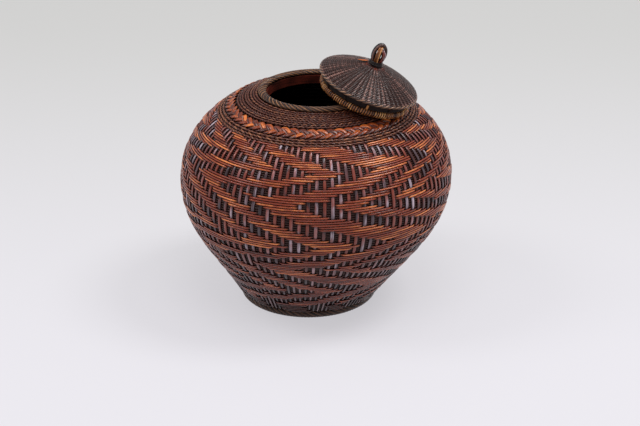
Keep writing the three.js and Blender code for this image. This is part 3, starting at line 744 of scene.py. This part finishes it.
class WeaveWall(bpy.types.Operator):
    """Weave the wall: upright stakes, and weavers that pass over and under them in a zigzag"""

    bl_idname = "basket.weave_wall"
    bl_label = "Wall"

    # Turns of the zigzag, as (height along the wall in mm, sideways travel in degrees)
    TURNS = (
        (-20, -30), (10, -5), (41, -66), (83, 0), (112, -66), (155, 0), (185, -60), (213, -19), (240, 20),
    )
    # Angles of the strokes at a left turn, in degrees; they differ, as in work done by eye
    STROKES = (8, 37, 64, 92, 129, 160, 190, 220, 250, 280, 310, 340)
    # How much higher the zigzag lies on the left, and how far it strays at a stake, in mm
    CLIMB = 15
    STRAY = 0.7
    # Places along a weaver: both sides of a stake and halfway to the next, in stakes
    PLACES = (-0.22, 0.22, 0.5)
    # Steps of a stake under the bands, and how far under the neck it ends
    BAND_STEPS = 24
    STAKE_END = 0.5 * MM
    # Tone of the darkest weaver, and how much paler the palest is
    DARKEST = 0.3
    TONES = 0.55
    # Lining: thickness of a hoop, and how little of its own colour shows; the rest is painted shade, in the
    # gaps' dark colour
    LINING_THICKNESS = 0.3 * MM
    LINING_UNSHADED = 0.15

    def stake_on_top(self, station, stakes):
        """True where the stake lies over the weaver, for each row and stake."""
        weave = bpy.context.scene.basket_weave
        around = np.degrees(even_turn(stakes))
        climb = self.CLIMB * np.maximum(0, -np.cos(np.radians(around))) ** 2
        stray = np.random.default_rng(3).normal(0, self.STRAY, stakes)
        height = (station / MM)[:, None] - climb + stray
        travel = np.interp(height, *np.array(self.TURNS).T)
        offset = around[None, :, None] - travel[..., None] - np.array(self.STROKES)
        offset = np.abs((offset + 180) % 360 - 180).min(axis=-1)
        return offset < math.degrees(weave.band_half)

    def execute(self, context):
        wall = context.scene.basket_wall
        weave = context.scene.basket_weave
        surface = wall_surface()
        whole = surface.outline.length
        woven = whole - (wall.upper_band + wall.braid_band + wall.lower_band)
        rows = int(woven / weave.row_pitch)
        share = (np.arange(rows) + 0.5) / rows
        station = woven * share * (1 + weave.row_taper * (1 - share))
        pitch = np.gradient(station)
        stakes = weave.stakes
        on_top = self.stake_on_top(station, stakes)
        over, under = weave.depth_over, weave.depth_under
        random = np.random.default_rng(7)

        # Weavers, woven from right to left
        depth = np.where(on_top, under, over)
        between = (depth + np.roll(depth, -1, axis=1)) / 2
        depths = np.stack([depth, depth, between], -1).reshape(rows, -1)[:, ::-1]
        around = -(TURN * (np.arange(stakes)[:, None] + np.array(self.PLACES)) / stakes).ravel()[::-1]
        # Painted shade where a weaver passes under a stake: there it takes the gaps' dark colour
        cover = 1 - (depths - over) / (under - over)
        # Near the foot the weavers take darker colours: painted shade on the lower wall
        low = ("low_weaver", "low_light")
        weaver = cane_material("Rust weavers", "weaver_dark", "weaver", "weaver_light", low=low)
        for part, run in zip(("lower", "middle", "upper"), np.array_split(np.arange(rows), 3)):
            strands = Strands()
            for row in run:
                path, out = surface.spot(around, station[row], depths[row])
                section = rounded(weave.weaver_share * pitch[row], weave.weaver_thickness, sides=6)
                tone = self.DARKEST + self.TONES * random.random()
                # The hem's rows are darker: their tone is scaled down, and so is the part of them kept from
                # the gaps' painted shade colour
                shade = weave.hem_shade if station[row] < weave.hem else 1.0
                strands.add(path, out, section, True, tone * shade, cover[row] * shade, fade=0.9)
            strands.piece(f"weavers_{part}", weaver, "basket", "twill", "twill_weave")

        # Stakes: one place for each row, and then on under the bands to the neck
        over, under = weave.stake_over, weave.stake_under
        top = np.where(on_top, over, under)
        padded = np.concatenate([top[:1], top, top[-1:]])
        top = (padded[:-2] + 2 * padded[1:-1] + padded[2:]) / 4
        banded = np.linspace(station[-1] + pitch[-1], whole - self.STAKE_END, self.BAND_STEPS)
        stations = np.concatenate([[0.0], station, banded])
        # Near the foot the palest stakes are darker: painted shade on the lower wall
        low = ("stake", "low_stake")
        cane = cane_material("Stakes", "stake_dark", "stake", "stake_light", "stake_rust", low=low)
        radius = surface.outline.at(stations)[0][:, 0]
        section = widening(plain(1, 1), TURN * radius / stakes * weave.stake_share, weave.stake_thickness)
        nodes = [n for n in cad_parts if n.startswith("stake_wall")]
        for part, run in zip(("front", "back"), np.array_split(np.arange(stakes), 2)):
            strands = Strands()
            for k in run:
                depth = np.concatenate([[under], top[:, k], np.full(self.BAND_STEPS, under)])
                path, out = surface.spot(-TURN * k / stakes, stations, depth)
                # Painted shade where a stake passes under the weavers and under the bands: there it takes
                # the gaps' dark colour
                unshaded_part = 1 - (depth - over) / (under - over)
                strands.add(path, out, section, False, random.random(), unshaded_part)
            strands.piece(f"stakes_{part}", cane, "basket", "stake", *nodes)

        # Lining: flat hoops behind the stakes, each one over the edge of the next, painted mostly in the
        # gaps' shade colour
        strands = Strands()
        section = plain(weave.lining_width, self.LINING_THICKNESS)
        hoops = int(whole / weave.lining_pitch)
        for hoop in range(hoops):
            depth = weave.lining_depth + weave.lining_step * (hoop % 2)
            path, out = surface.spot(even_turn(stakes), (hoop + 0.5) * whole / hoops, depth)
            strands.add(path, out, section, True, random.random(), self.LINING_UNSHADED)
        strands.piece("lining_hoops", cane, "basket", "stake", *nodes)
        return {"FINISHED"}


class TwineShoulder(bpy.types.Operator):
    """Twine the bands on the shoulder, in rows of two strands that cross between the stakes"""

    bl_idname = "basket.twine_shoulder"
    bl_label = "Twined bands"

    # Steps of a strand from one crossing to the next
    STEPS = 8
    # How far a strand swings across its row, and how wide it is, in rows
    SWING = 0.17
    WIDTH = 0.6
    THICKNESS = 1.0 * MM
    # Middle depth of a strand, and how far it rises and dips
    DEPTH = 1.0 * MM
    DIP = 0.55 * MM
    # Tone of each band's darkest strand, and how much paler the palest is
    UPPER_TONE = 0.3
    LOWER_TONE = 0.45
    TONES = 0.5

    def execute(self, context):
        wall = context.scene.basket_wall
        weave = context.scene.basket_weave
        surface = wall_surface()
        whole = surface.outline.length
        cane = cane_material("Twining", "twining_dark", "twining", "twining_light", coat=0.2)
        random = np.random.default_rng(11)
        crossings = weave.stakes // 2
        around = even_turn(crossings * self.STEPS)
        top = whole - wall.upper_band
        foot = top - wall.braid_band
        for name, node, low, high, tone in (
            ("upper_rows", "upper_twining", top, whole, self.UPPER_TONE),
            ("lower_rows", "lower_twining", foot - wall.lower_band, foot, self.LOWER_TONE),
        ):
            strands = Strands()
            rows = round((high - low) / weave.twining_pitch)
            pitch = (high - low) / rows
            section = rounded(self.WIDTH * pitch, self.THICKNESS, sides=6)
            for row in range(rows):
                lean = random.choice((-1, 1))
                shift = random.random()
                for half in (0, 0.5):
                    phase = TURN * (half + shift) + crossings * around
                    station = low + (row + 0.5) * pitch + lean * self.SWING * pitch * np.cos(phase)
                    path, out = surface.spot(around, station, self.DEPTH - self.DIP * np.sin(phase))
                    # Painted shade where a strand dips behind the other: there it turns towards the gaps'
                    # dark colour
                    unshaded_part = 0.55 + 0.45 * np.sin(phase)
                    strands.add(path, out, section, True, tone + self.TONES * random.random(), unshaded_part)
            strands.piece(name, cane, "basket", "twining", node)
        return {"FINISHED"}


class PlaitBraid(bpy.types.Operator):
    """Plait the braid on the shoulder from three flat strands, each with a mauve strand beside it"""

    bl_idname = "basket.plait_braid"
    bl_label = "Braid"

    # Steps of a strand for each plait
    STEPS = 24
    # How far inside the band the strands stay
    INSIDE = 0.6 * MM
    THICKNESS = 1.1 * MM
    # Middle depth of a strand, which rises and dips as far
    DEPTH = 0.75 * MM
    # Width and thickness of a mauve strand, and how far behind, below and under its orange one it lies
    MAUVE = (2.0 * MM, 0.9 * MM)
    BEHIND = 0.034
    BELOW = 1.2 * MM
    BENEATH = 0.25 * MM

    def execute(self, context):
        wall = context.scene.basket_wall
        weave = context.scene.basket_weave
        surface = wall_surface()
        middle = surface.outline.length - wall.upper_band - wall.braid_band / 2
        swing = (wall.braid_band - weave.braid_strand) / 2 - self.INSIDE
        random = np.random.default_rng(5)
        around = even_turn(weave.plaits * self.STEPS)
        orange, mauve = Strands(), Strands()
        for third in range(3):
            phase = TURN * third / 3 - weave.plaits * around
            station = middle + swing * np.sin(phase)
            depth = self.DEPTH - self.DEPTH * np.sin(2 * phase)
            path, out = surface.spot(around, station, depth)
            orange.add(path, out, crowned(weave.braid_strand, self.THICKNESS), True, random.random())
            path, out = surface.spot(around - self.BEHIND, station - self.BELOW, depth + self.BENEATH)
            mauve.add(path, out, crowned(*self.MAUVE), True, random.random())
        cane = cane_material("Braid", "braid_dark", "braid", "braid_light", coat=0.3)
        orange.piece("braid_strands", cane, "basket", "braid", "shoulder_braid")
        grey = cane_material("Mauve strands", "stake_dark", "mauve", "lid_light", coat=0.3)
        mauve.piece("braid_mauve_strands", grey, "basket", "braid", "shoulder_braid")
        return {"FINISHED"}


class LayRopes(bpy.types.Operator):
    """Lay the rope of the mouth and the heavy rope of the foot"""

    bl_idname = "basket.lay_ropes"
    bl_label = "Ropes"

    # Width and thickness of a strand, the number of strands, and their turns round the rope
    RIM = ((1.6 * MM, 1.6 * MM), 10, -12)
    FOOT = ((2.3 * MM, 2.0 * MM), 12, -10)
    # How deep the core lies, in strands
    CORE = 0.7

    def execute(self, context):
        random = np.random.default_rng(17)
        rim = cane_material("Rim rope", "rope_dark", "rope", "rim_light", coat=0.15)
        foot = cane_material("Foot rope", "rope_dark", "rope", "foot_light", coat=0.15)
        for name, node, cane, (strand, plies, turns) in (
            ("rim_strands", "rim_rope", rim, self.RIM),
            ("foot_strands", "foot_rope", foot, self.FOOT),
        ):
            points = vertices(node)
            middle = middle_of(points) * (1, 1, 0)
            ring = ring_of(points - middle)
            put = lambda p: p + middle
            strands = Strands()
            lay_rope(strands, put, as_they_are, ring, strand, plies, turns, random)
            core_ring(strands, put, as_they_are, ring, strand[1] * self.CORE)
            strands.piece(name, cane, "basket", "dark_rope", node)
        return {"FINISHED"}


class WeaveFloor(bpy.types.Operator):
    """Weave the floor: radial stakes with rings of weavers over and under them"""

    bl_idname = "basket.weave_floor"
    bl_label = "Floor"

    SPOKES = 48
    # Where the spokes and the rings begin, from the middle
    SPOKE_START = 3 * MM
    RING_START = 6 * MM
    # Distance of the rings, and the part of it that one fills
    RING_PITCH = 2.6 * MM
    RING_SHARE = 0.86
    SPOKE_WIDTH = 3.2 * MM
    THICKNESS = 0.8 * MM
    # How far the rings and the spokes rise and dip
    RING_DIP = 0.5 * MM
    SPOKE_DIP = 0.25 * MM
    # How far the disc passes the floor, and its thickness
    DISC_EDGE = 1.6 * MM
    DISC_THICKNESS = 0.4 * MM

    def execute(self, context):
        points = vertices("base_weave")
        middle = middle_of(points)
        radius = np.hypot(*(points - middle)[:, :2].T).max()
        random = np.random.default_rng(23)
        strands = Strands()
        rings = int((radius - self.RING_START) / self.RING_PITCH)
        around = even_turn(self.SPOKES * 3)
        section = plain(self.RING_SHARE * self.RING_PITCH, self.THICKNESS)
        for ring in range(rings):
            r = self.RING_START + (ring + 0.5) * self.RING_PITCH
            wave = np.cos(self.SPOKES / 2 * around + math.pi * (ring % 2))
            path = middle + r * level(around) + UP * (self.RING_DIP * wave)[:, None]
            up = np.broadcast_to(UP, path.shape)
            # Painted shade where a ring dips under a spoke: there it takes the gaps' dark colour
            strands.add(path, up, section, True, random.random(), 0.5 + 0.5 * wave)
        section = plain(self.SPOKE_WIDTH, self.THICKNESS)
        for turned in even_turn(self.SPOKES):
            r = np.linspace(self.SPOKE_START, radius, rings + 1)
            wave = -np.cos(self.SPOKES / 2 * turned + math.pi * np.arange(rings + 1))
            path = middle + r[:, None] * level(turned) + UP * (self.SPOKE_DIP * wave)[:, None]
            up = np.broadcast_to(UP, path.shape)
            # The spokes are partly painted in the gaps' shade colour, as painted shade
            strands.add(path, up, section, False, random.random(), 0.5)
        cane = cane_material("Floor weave", "dark", "twining_dark", "hoop", roughness=0.5, coat=0.1)
        strands.piece("floor_strands", cane, "basket", "floor_weave", "base_weave")

        deselect()
        bpy.ops.mesh.primitive_cylinder_add(
            vertices=96, radius=radius + self.DISC_EDGE, depth=self.DISC_THICKNESS, location=tuple(middle)
        )
        bpy.ops.object.transform_apply(location=True, rotation=False, scale=False)
        disc = context.object
        disc.name = "floor_disc"
        # The disc shows only between the floor's strands, and is painted in the dark colours of the gaps:
        # painted shade
        cane = hoop_material("Floor disc", "dark", "twining_dark", 0.6)
        finish(disc, cane, "basket", "floor_weave", "base_weave")
        return {"FINISHED"}


class WeaveLid(bpy.types.Operator):
    """Weave the lid: radial ribs and twined rows over them, with the rope round its edge"""

    bl_idname = "basket.weave_lid"
    bl_label = "Lid"

    # Steps of a strand from one rib to the next
    STEPS = 4
    # Inside this radius a row passes two ribs at a time
    PAIRED_RADIUS = 18 * MM
    # Depth of a strand on a ridge, and how far it rises and dips
    DEPTH = 0.7 * MM
    DIP = 0.35 * MM
    # How far a strand swings, and its width, in rows
    SWING = 0.12
    ROW_SHARE = 0.9
    THICKNESS = 0.7 * MM
    # How much a strand's tone owes to its rib, to its row, to chance and to the ridges; the ridges' part is
    # painted light and shade, paler on the ridges and darker in the valleys between them
    RIB_TONE = 0.85
    ROW_TONE = 0.12
    CHANCE = 0.06
    RIDGE_SHADE = 0.5
    # Ribs: how far inside the dome's edge and centre they end, and their steps, depth and thickness
    RIB_ENDS = (0.2 * MM, 2 * MM)
    RIB_STEPS = 30
    RIB_DEPTH = 1.7 * MM
    RIB_THICKNESS = 1.0 * MM
    # Greatest width of a rib, and the part of the ribs' distance that it fills
    RIB_WIDTH = 2.6 * MM
    RIB_SHARE = 0.6
    # Edge rope: width and thickness of a strand, number of strands, their turns, and depth of the core
    ROPE = ((1.6 * MM, 1.5 * MM), 6, 16)
    CORE = 0.9 * MM

    def execute(self, context):
        lid = context.scene.basket_lid
        surface = lid_surface()
        whole = surface.outline.length
        random = np.random.default_rng(29)
        twine = cane_material("Lid twining", "lid_dark", "lid", "lid_light", coat=0.6)
        centre = cane_material("Lid centre", "lid_dark", "hoop", "weaver")
        rows = round(whole / lid.row_pitch)
        pitch = whole / rows
        rib_tones = random.random(lid.ribs)
        outer, inner = Strands(), Strands()
        for row in range(rows):
            station = (row + 0.5) * pitch
            radius = float(surface.outline.at(station)[0][0])
            strands = inner if radius < lid.centre_radius else outer
            ribs = lid.ribs if radius > self.PAIRED_RADIUS else lid.ribs // 2
            around = even_turn(ribs * self.STEPS)
            ridge = 0.5 + 0.5 * np.cos(ribs * around)
            tone = np.repeat(rib_tones[:: lid.ribs // ribs], self.STEPS) * self.RIB_TONE
            tone += self.ROW_TONE * (-1) ** row
            tone += random.normal(0, self.CHANCE)
            tone += self.RIDGE_SHADE * (ridge - 0.55)
            for half in (0, 1):
                phase = ribs / 2 * around + math.pi * (half + row)
                depth = self.DEPTH + lid.ridge * (1 - ridge) - self.DIP * np.sin(phase)
                path, out = surface.spot(around, station + self.SWING * pitch * np.cos(phase), depth)
                section = rounded(self.ROW_SHARE * pitch, self.THICKNESS, sides=6)
                # Painted shade in the valleys between the ribs: there the rows take the gaps' dark colour
                strands.add(path, out, section, True, tone, 0.05 + 0.95 * ridge, fade=0.8)
        outer.piece("lid_rows", twine, "lid", "lid_twining", "lid_weave")
        inner.piece("lid_centre_rows", centre, "lid", "lid_centre", "lid_centre")

        strands = Strands()
        stations = np.linspace(self.RIB_ENDS[0], whole - self.RIB_ENDS[1], self.RIB_STEPS)
        radius = surface.outline.at(stations)[0][:, 0]
        widths = np.minimum(TURN * radius / lid.ribs * self.RIB_SHARE, self.RIB_WIDTH)
        section = widening(plain(1, 1), widths, self.RIB_THICKNESS)
        for turned in even_turn(lid.ribs):
            path, out = surface.spot(turned, stations, self.RIB_DEPTH)
            # The ribs lie under the rows and are partly painted in the gaps' shade colour, as painted shade
            strands.add(path, out, section, False, random.random(), 0.5)
        ribs = cane_material("Lid ribs", "stake_dark", "stake", "stake_light")
        strands.piece("lid_ribs", ribs, "lid", "stake", "lid_stakes")

        rope = cane_material("Edge rope", "rope_dark", "rope", "rope_light")
        put, turn = in_lid()
        ring = lid_ring("lid_edge_rope")
        strands = Strands()
        lay_rope(strands, put, turn, ring, *self.ROPE, random)
        core_ring(strands, put, turn, ring, self.CORE)
        strands.piece("lid_edge_strands", rope, "lid", "dark_rope", "lid_edge_rope")
        return {"FINISHED"}


class WhipCollar(bpy.types.Operator):
    """Wind the honey-coloured strip round the collar's hoop"""

    bl_idname = "basket.whip_collar"
    bl_label = "Whipping"

    # Steps of the strip for each turn
    STEPS = 12
    # Width of the strip, in turns
    SHARE = 0.58
    THICKNESS = 0.8 * MM

    def execute(self, context):
        lid = context.scene.basket_lid
        put, turn = in_lid()
        radius, height, half_width, half_height = lid_ring("collar_whipping")
        turns = lid.whipping_turns
        around = even_turn(turns * self.STEPS)
        a, b = half_width - self.THICKNESS / 2, half_height - self.THICKNESS / 2
        path, out = wound(radius, height, a, b, around, turns * around)
        pitch = TURN * radius / turns
        section = rounded(self.SHARE * pitch, self.THICKNESS)
        # Each turn has a tone of its own; the first number that is drawn goes unused
        tones = np.repeat(np.random.default_rng(41).random(turns + 1)[1:], self.STEPS)
        strands = Strands()
        strands.add(put(path), turn(out), section, True, tones)
        cane = cane_material("Honey strip", "honey_dark", "honey", "honey_light")
        strands.piece("whipping_strip", cane, "lid", "whipping", "collar_whipping")
        return {"FINISHED"}


class BendKnob(bpy.types.Operator):
    """Bend the three crossing loops of the knob, bind their feet and tuck a strand in beside them"""

    bl_idname = "basket.bend_knob"
    bl_label = "Knob"

    # Steps of a loop, and the places of its strands from its middle, in pitches
    LOOP_STEPS = 49
    SIDE_BY_SIDE = (-1.5, -0.5, 0.5, 1.5)
    # Pitch, width and thickness of a loop's strands, in knob strands
    STRAND_PITCH = 0.4
    STRAND_WIDTH = 0.5
    STRAND_THICKNESS = 1.2
    # How far the loops stay inside the knob's width, and their ends inside its height
    INSIDE = 0.3 * MM
    END = 1.45 * MM
    # Tone of a loop's middle, and how much it changes from one strand to the next
    TONE = 0.45
    TONE_STEP = 0.2
    # Binding: steps and width of a ring, how far it lies over the one below, in half heights of the
    # binding, and how much smaller it is
    RING_STEPS = 40
    RING_WIDTH = 1.3 * MM
    RING_RISE = 0.64
    RING_TAPER = 0.4 * MM
    # Tucked strand: steps, width and thickness, height over the dome, and its part of the node's length
    TAIL_STEPS = 14
    TAIL = (2.9 * MM, 1.1 * MM)
    TAIL_HEIGHT = 0.8 * MM
    TAIL_SHOWN = 0.8

    def execute(self, context):
        self.bend_loops()
        self.bind_feet()
        self.tuck_strand()
        return {"FINISHED"}

    def bend_loops(self):
        """Three loops, each one lower than the one that crosses over it."""
        lid = bpy.context.scene.basket_lid
        put, turn = in_lid()
        half_width = (lid.knob_width - lid.knob_strand) / 2 - self.INSIDE
        foot = lid.height + self.END
        middle = lid.height + lid.knob_height * lid.knob_waist
        start = -math.acos(lid.knob_foot / half_width)
        drop = (foot - middle) / math.sin(start)
        swing = start + (math.pi - 2 * start) * np.linspace(0, 1, self.LOOP_STEPS)
        width, thickness = self.STRAND_WIDTH * lid.knob_strand, self.STRAND_THICKNESS * lid.knob_strand
        section = rounded(width, thickness, sides=10)
        shades = (
            ("outer", "dark_rope", "rope_dark", "rope_dark", "lid_light"),
            ("middle", "honey_strand", "honey_dark", "honey", "honey_light"),
            ("inner", "rust_strand", "stake_dark", "low_weaver", "stake_light"),
        )
        for order, (name, slot, dark, base, light) in enumerate(shades):
            rise = lid.height + lid.knob_height - self.END - order * lid.knob_step - middle
            lift = np.sin(swing) * np.where(np.sin(swing) > 0, rise, drop)
            side = level(math.pi * (order + 0.5) / 3)
            path = half_width * np.cos(swing)[:, None] * side + UP * (middle + lift)[:, None]
            flat = np.cross(side, UP)
            outward = np.cross(np.gradient(path, axis=0), np.broadcast_to(flat, path.shape))
            strands = Strands()
            for strand in self.SIDE_BY_SIDE:
                shifted = path + strand * self.STRAND_PITCH * lid.knob_strand * flat
                tone = self.TONE + self.TONE_STEP * strand
                strands.add(put(shifted), turn(outward), section, False, tone)
            cane = cane_material(f"Knob {name}", dark, base, light, roughness=0.24, coat=0.6)
            strands.piece(f"knob_{name}_strands", cane, "lid", slot, f"knob_loop_{name}")

    def bind_feet(self):
        """Three rings of a strip round the feet of the loops."""
        put, turn = in_lid()
        radius, height, half_width, half_height = lid_ring("knob_binding")
        cane = cane_material("Binding", "rope_dark", "rope_dark", "hoop", coat=0.1)
        out = level(even_turn(self.RING_STEPS))
        section = rounded(self.RING_WIDTH, 2 * half_width)
        strands = Strands()
        for row in range(3):
            up = height + (row - 1) * half_height * self.RING_RISE
            path = (radius - self.RING_TAPER * row) * out + (0, 0, up)
            strands.add(put(path), turn(out), section, True, 0.3 * row)
        strands.piece("knob_binding_strands", cane, "lid", "dark_rope", "knob_binding")

    def tuck_strand(self):
        """The orange strand that lies on the dome and ends under the binding."""
        origin, axes = lid_axes()
        surface = lid_surface()
        tail = (vertices("knob_tail") - origin) @ axes.T
        radius = np.hypot(tail[:, 0], tail[:, 1])
        way = np.linspace(0, self.TAIL_SHOWN, self.TAIL_STEPS)
        reach = radius.min() + way * (radius.max() - radius.min())
        stations = np.interp(-reach, -surface.outline.points[:, 0], surface.outline.along)
        path, out = surface.spot(math.pi, stations, -self.TAIL_HEIGHT)
        taper = 0.3 + 0.7 * np.sin(math.pi * np.linspace(0.15, 1, self.TAIL_STEPS))
        strands = Strands()
        strands.add(path, out, widening(crowned(*self.TAIL), taper, 1), False, 0.9)
        cane = cane_material("Tucked strand", "braid_dark", "weaver", "braid_light")
        strands.piece("knob_tail_strip", cane, "lid", "braid", "knob_tail")


class FinishFrame(bpy.types.Operator):
    """Give the hoops, the collar band and the stitches their cane"""

    bl_idname = "basket.finish_frame"
    bl_label = "Hoops and stitches"

    def execute(self, context):
        # A stitch that has a line of its own takes that one
        finishes = (
            ("neck_hoop", "rope_dark", "low_weaver", 0.34),
            ("collar_hoop", "rope_dark", "rope", 0.4),
            # The collar band is painted all in the darkest rope colour, which also stands for the shade in
            # the hollow under the lid's edge rope: painted shade
            ("collar_band", "rope_dark", "rope_dark", 0.7),
            ("collar_tie", "rope_dark", "rope", 0.5),
            ("collar_tie_10", "honey", "honey_light", 0.35),
            ("collar_tie_12", "honey", "honey_light", 0.35),
        )
        for name, base, light, roughness in finishes:
            cane = hoop_material(name.replace("_", " "), base, light, roughness)
            for node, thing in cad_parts.items():
                if node.startswith(name):
                    paint(thing, cane)
        return {"FINISHED"}


class SetStage(bpy.types.Operator):
    """Set the camera, the lamps, the floor and the background"""

    bl_idname = "basket.set_stage"
    bl_label = "Stage"

    SENSOR = 36
    # Place and size of each lamp, and the point that all of them light
    LAMPS = {
        "overhead": ((0.0, -0.6, 2.4), 1.4),
        "right": ((1.15, 0.0, 2.1), 0.9),
        "left": ((-1.5, -0.1, 1.9), 0.9),
    }
    AIM = (0, 0, 0.1)
    # Colour of the light from all round
    SURROUND = (0.97, 0.97, 1.0, 1.0)
    FLOOR_SIZE = 12
    # Where the backdrop's light begins and ends its change from near to far
    BACKDROP = (-0.3, 0.9)

    def execute(self, context):
        context.scene.view_settings.view_transform = "Standard"
        self.set_camera(context.scene)
        self.set_lights(context.scene)
        self.set_floor(context.scene)
        return {"FINISHED"}

    def set_camera(self, scene):
        """The camera, where the photo was taken from."""
        stage = scene.basket_stage
        camera = bpy.data.cameras.new("camera")
        camera.lens = stage.lens
        camera.sensor_width = self.SENSOR
        eye = bpy.data.objects.new("camera", camera)
        scene.collection.objects.link(eye)
        eye.location = (stage.camera_x, stage.camera_y, stage.camera_z)
        eye.rotation_euler = (math.pi / 2 - stage.camera_pitch, 0, 0)
        scene.camera = eye

    def set_lights(self, scene):
        """Three soft lamps, and an even light from all round."""
        for name, (place, size) in self.LAMPS.items():
            lamp = bpy.data.lights.new(name, "AREA")
            lamp.shape = "DISK"
            lamp.size = size
            lamp.energy = getattr(scene.basket_stage, f"{name}_power")
            thing = bpy.data.objects.new(name, lamp)
            scene.collection.objects.link(thing)
            thing.location = place
            thing.rotation_euler = (Vector(self.AIM) - Vector(place)).to_track_quat("-Z", "Y").to_euler()
        world = bpy.data.worlds.new("studio")
        world.use_nodes = True
        light = world.node_tree.nodes["Background"].inputs
        light["Color"].default_value = self.SURROUND
        light["Strength"].default_value = scene.basket_stage.surround
        scene.world = world

    def set_floor(self, scene):
        """A wide pale floor, which the camera and mirrors see as a glowing backdrop with a shadow on it."""
        stage = scene.basket_stage
        deselect()
        bpy.ops.mesh.primitive_plane_add(size=1, location=(0, 0, 0))
        floor = bpy.context.object
        floor.name = "floor"
        bpy.ops.object.mode_set(mode="EDIT")
        bpy.ops.transform.resize(value=(self.FLOOR_SIZE, self.FLOOR_SIZE, 1))
        bpy.ops.object.mode_set(mode="OBJECT")
        pale = Cane("Pale floor")
        ray = lambda kind: pale.node("ShaderNodeLightPath", {}, output=kind)
        seen = ray("Is Camera Ray") + ray("Is Glossy Ray") + ray("Is Transmission Ray")
        back = pale.part(pale.place(), "Y").between(*self.BACKDROP)
        glow = pale.blend(back, opaque(stage.glow_near), opaque(stage.glow_far))
        pale.set(
            Base_Color=pale.blend(seen, opaque(stage.floor), opaque(stage.floor_seen)),
            Emission_Color=pale.blend(seen, (0.0, 0.0, 0.0, 1.0), glow),
            Emission_Strength=1.0,
            Roughness=0.9,
        )
        paint(floor, pale.material)


class BASKET_PT_pieces(bpy.types.Panel):
    """The basket's pieces and their sizes"""

    bl_idname = "BASKET_PT_pieces"
    bl_label = "Basket"
    bl_space_type = "VIEW_3D"
    bl_region_type = "UI"
    bl_category = "Basket"

    def draw(self, context):
        for maker in MAKERS:
            self.layout.operator(maker.bl_idname)
        for group in GROUPS:
            box = self.layout.box()
            sizes = getattr(context.scene, group)
            for key in sizes.__annotations__:
                box.prop(sizes, key)


GROUPS = {
    "basket_wall": BasketWallSizes,
    "basket_weave": BasketWeaveSizes,
    "basket_lid": BasketLidSizes,
    "basket_colours": BasketColours,
    "basket_stage": BasketStageSizes,
}
MAKERS = (
    SetStage,
    WeaveWall,
    TwineShoulder,
    PlaitBraid,
    LayRopes,
    WeaveFloor,
    WeaveLid,
    WhipCollar,
    BendKnob,
    FinishFrame,
)


def register():
    for kind in (*GROUPS.values(), *MAKERS, BASKET_PT_pieces):
        bpy.utils.register_class(kind)
    for name, group in GROUPS.items():
        setattr(bpy.types.Scene, name, PointerProperty(type=group))


def unregister():
    for name in GROUPS:
        delattr(bpy.types.Scene, name)
    for kind in (BASKET_PT_pieces, *reversed(MAKERS), *reversed(GROUPS.values())):
        bpy.utils.unregister_class(kind)


def main():
    register()
    for maker in MAKERS:
        group, name = maker.bl_idname.split(".")
        getattr(getattr(bpy.ops, group), name)()


if __name__ == "__main__":
    main()
